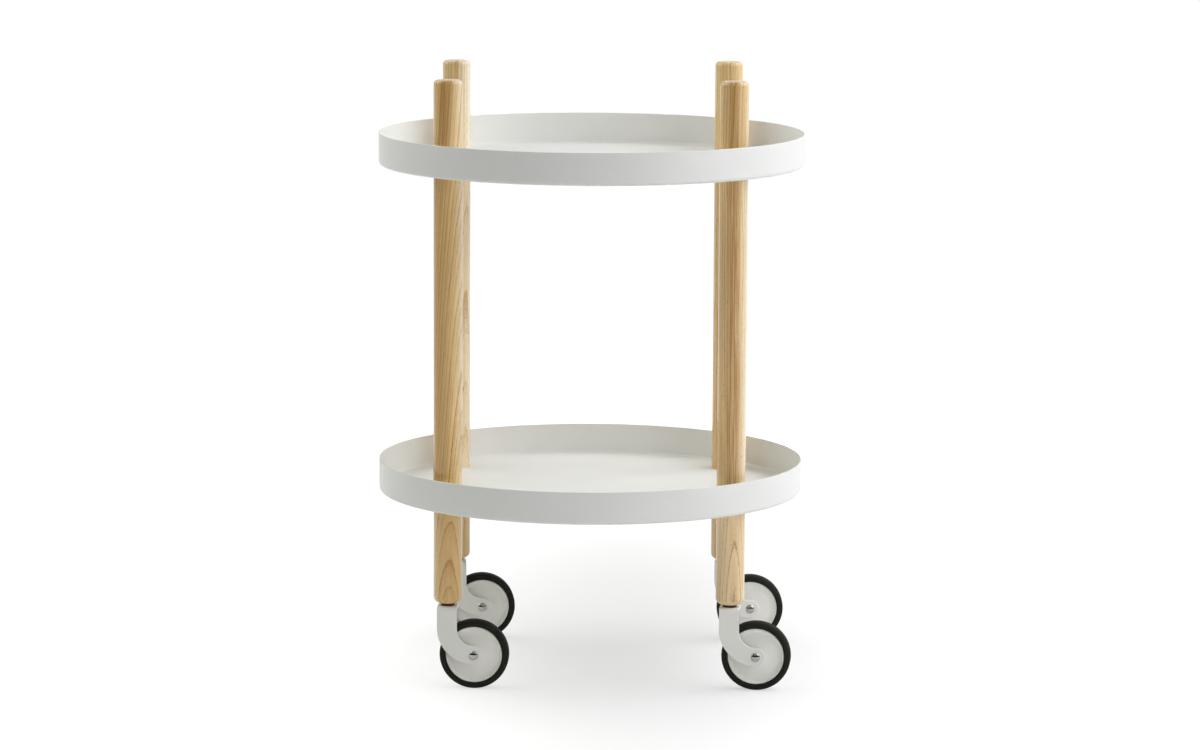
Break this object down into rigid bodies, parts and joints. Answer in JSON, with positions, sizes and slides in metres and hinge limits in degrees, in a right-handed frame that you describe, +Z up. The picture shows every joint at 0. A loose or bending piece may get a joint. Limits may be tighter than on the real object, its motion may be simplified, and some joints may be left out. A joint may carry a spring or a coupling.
{
  "type": "rolling side table",
  "caption": "Rolling side table: round rimmed steel trays, one above the other, clamped between turned ash legs on trailing swivel casters.",
  "frame": {"origin": "on the floor, below the centre of the trays", "axes": "+Z up; +X to the right seen from the front, the way the casters trail; +Y to the rear"},
  "size_m": [0.45, 0.45, 0.6365],
  "materials": {
    "tray_coat": "satin powder coat",
    "ash": "clear matt lacquer",
    "zinc_steel": "zinc plated",
    "black_nylon": "moulded, matt",
    "fork_coat": "satin powder coat",
    "wheel_nylon": "moulded, satin",
    "tyre_rubber": "moulded, matt",
    "axle_steel": "polished"
  },
  "bodies": {
    "table": {"upper_tray": "tray_coat", "lower_tray": "tray_coat", "upper_tray_studs": "zinc_steel", "lower_tray_studs": "zinc_steel", "top_peg_inserts": "zinc_steel", "post_upper_inserts": "zinc_steel", "post_lower_inserts": "zinc_steel", "foot_peg_inserts": "zinc_steel", "stem_inserts": "zinc_steel", "top_peg_front_left": "ash", "post_front_left": "ash", "foot_peg_front_left": "ash", "stem_front_left": "zinc_steel", "top_peg_front_right": "ash", "post_front_right": "ash", "foot_peg_front_right": "ash", "stem_front_right": "zinc_steel", "top_peg_rear_left": "ash", "post_rear_left": "ash", "foot_peg_rear_left": "ash", "stem_rear_left": "zinc_steel", "top_peg_rear_right": "ash", "post_rear_right": "ash", "foot_peg_rear_right": "ash", "stem_rear_right": "zinc_steel"},
    "front_left_caster": {"fork_front_left": "fork_coat", "swivel_bush_front_left": "black_nylon", "axle_sleeve_front_left": "zinc_steel", "axle_screws_front_left": "axle_steel"},
    "front_left_wheel": {"wheel_front_left": "wheel_nylon", "tyre_front_left": "tyre_rubber"},
    "front_right_caster": {"fork_front_right": "fork_coat", "swivel_bush_front_right": "black_nylon", "axle_sleeve_front_right": "zinc_steel", "axle_screws_front_right": "axle_steel"},
    "front_right_wheel": {"wheel_front_right": "wheel_nylon", "tyre_front_right": "tyre_rubber"},
    "rear_left_caster": {"fork_rear_left": "fork_coat", "swivel_bush_rear_left": "black_nylon", "axle_sleeve_rear_left": "zinc_steel", "axle_screws_rear_left": "axle_steel"},
    "rear_left_wheel": {"wheel_rear_left": "wheel_nylon", "tyre_rear_left": "tyre_rubber"},
    "rear_right_caster": {"fork_rear_right": "fork_coat", "swivel_bush_rear_right": "black_nylon", "axle_sleeve_rear_right": "zinc_steel", "axle_screws_rear_right": "axle_steel"},
    "rear_right_wheel": {"wheel_rear_right": "wheel_nylon", "tyre_rear_right": "tyre_rubber"}
  },
  "joints": [
    {"name": "front_left_swivel", "type": "hinge", "parent": "table", "child": "front_left_caster", "pos_m": [-0.14724, -0.12709, 0.0873], "axis": [0, 0, 1], "continuous": true},
    {"name": "front_left_roll", "type": "hinge", "parent": "front_left_caster", "child": "front_left_wheel", "pos_m": [-0.11927, -0.12856, 0.03625], "axis": [0.0523, 0.9986, 0], "continuous": true},
    {"name": "front_right_swivel", "type": "hinge", "parent": "table", "child": "front_right_caster", "pos_m": [0.14724, -0.12709, 0.0873], "axis": [0, 0, 1], "continuous": true},
    {"name": "front_right_roll", "type": "hinge", "parent": "front_right_caster", "child": "front_right_wheel", "pos_m": [0.17513, -0.12953, 0.03625], "axis": [0.0872, 0.9962, 0], "continuous": true},
    {"name": "rear_left_swivel", "type": "hinge", "parent": "table", "child": "rear_left_caster", "pos_m": [-0.14724, 0.12709, 0.0873], "axis": [0, 0, 1], "continuous": true},
    {"name": "rear_left_roll", "type": "hinge", "parent": "rear_left_caster", "child": "rear_left_wheel", "pos_m": [-0.11934, 0.12953, 0.03625], "axis": [-0.0872, 0.9962, 0], "continuous": true},
    {"name": "rear_right_swivel", "type": "hinge", "parent": "table", "child": "rear_right_caster", "pos_m": [0.14724, 0.12709, 0.0873], "axis": [0, 0, 1], "continuous": true},
    {"name": "rear_right_roll", "type": "hinge", "parent": "rear_right_caster", "child": "rear_right_wheel", "pos_m": [0.17523, 0.12758, 0.03625], "axis": [-0.0175, 0.9998, 0], "continuous": true}
  ]
}
